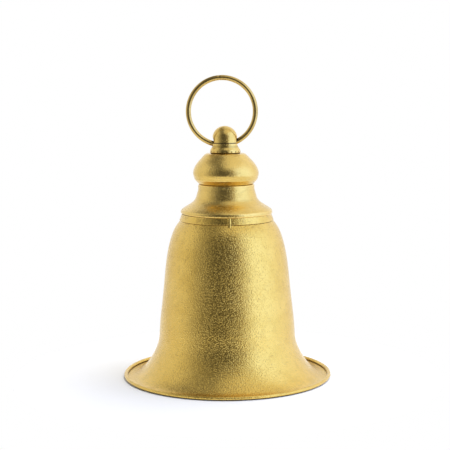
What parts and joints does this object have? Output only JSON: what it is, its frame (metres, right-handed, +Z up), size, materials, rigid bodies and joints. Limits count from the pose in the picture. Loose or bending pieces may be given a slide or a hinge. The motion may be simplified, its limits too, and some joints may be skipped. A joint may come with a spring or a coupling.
{
  "type": "ornamental bell",
  "caption": "Spun brass bell with a wide flared brim, rolled rim, collared cap, bulb and round finial, a swinging hanging ring and a linked clapper with a ball",
  "frame": {"origin": "centre of the circle on which the rim rests, at the bottom of the part", "axes": "+Z up along the bell's axis, -Y to the front, where the folded tab of the collar is, +X to the right; the hanging ring lies in the XZ plane"},
  "size_m": [0.1454, 0.1454, 0.2099],
  "materials": {
    "body_brass": "antique gold, brown in the hollows, fine hammered grain",
    "collar_brass": "antique gold, darker in the folds",
    "cap_brass": "antique gold, polished on the lip",
    "bulb_brass": "antique gold, polished",
    "finial_brass": "antique gold, brown at the seams",
    "ring_brass": "antique gold, worn dark wire",
    "rod_steel": "plain steel, dull",
    "fastener_steel": "yellowish plating, dull",
    "clapper_steel": "plain steel wire, dull",
    "ball_brass": "turned brass, tarnished"
  },
  "bodies": {
    "bell": {"bell_body": "body_brass", "collar_band": "collar_brass", "collar_seam_tab": "collar_brass", "shoulder_cap": "cap_brass", "bulb_dome": "bulb_brass", "finial_skirt": "finial_brass", "finial_dome": "finial_brass", "clapper_eye_bolt": "rod_steel", "crown_washer": "fastener_steel", "crown_nut": "fastener_steel", "top_washer": "fastener_steel", "top_nut": "fastener_steel"},
    "ring": {"hanging_ring": "ring_brass"},
    "link": {"clapper_link": "clapper_steel"},
    "clapper": {"clapper_rod": "clapper_steel", "clapper_ball": "ball_brass"}
  },
  "joints": [
    {"name": "ring_swing", "type": "hinge", "parent": "bell", "child": "ring", "pos_m": [0, 0, 0.16392], "axis": [1, 0, 0], "range_deg": [-142, 142]},
    {"name": "link_swing", "type": "hinge", "parent": "bell", "child": "link", "pos_m": [0, 0, 0.09912], "axis": [1, 0, 0], "range_deg": [-20, 20]},
    {"name": "clapper_swing", "type": "hinge", "parent": "link", "child": "clapper", "pos_m": [0, 0, 0.08787], "axis": [0, 1, 0], "range_deg": [-25, 25]}
  ]
}
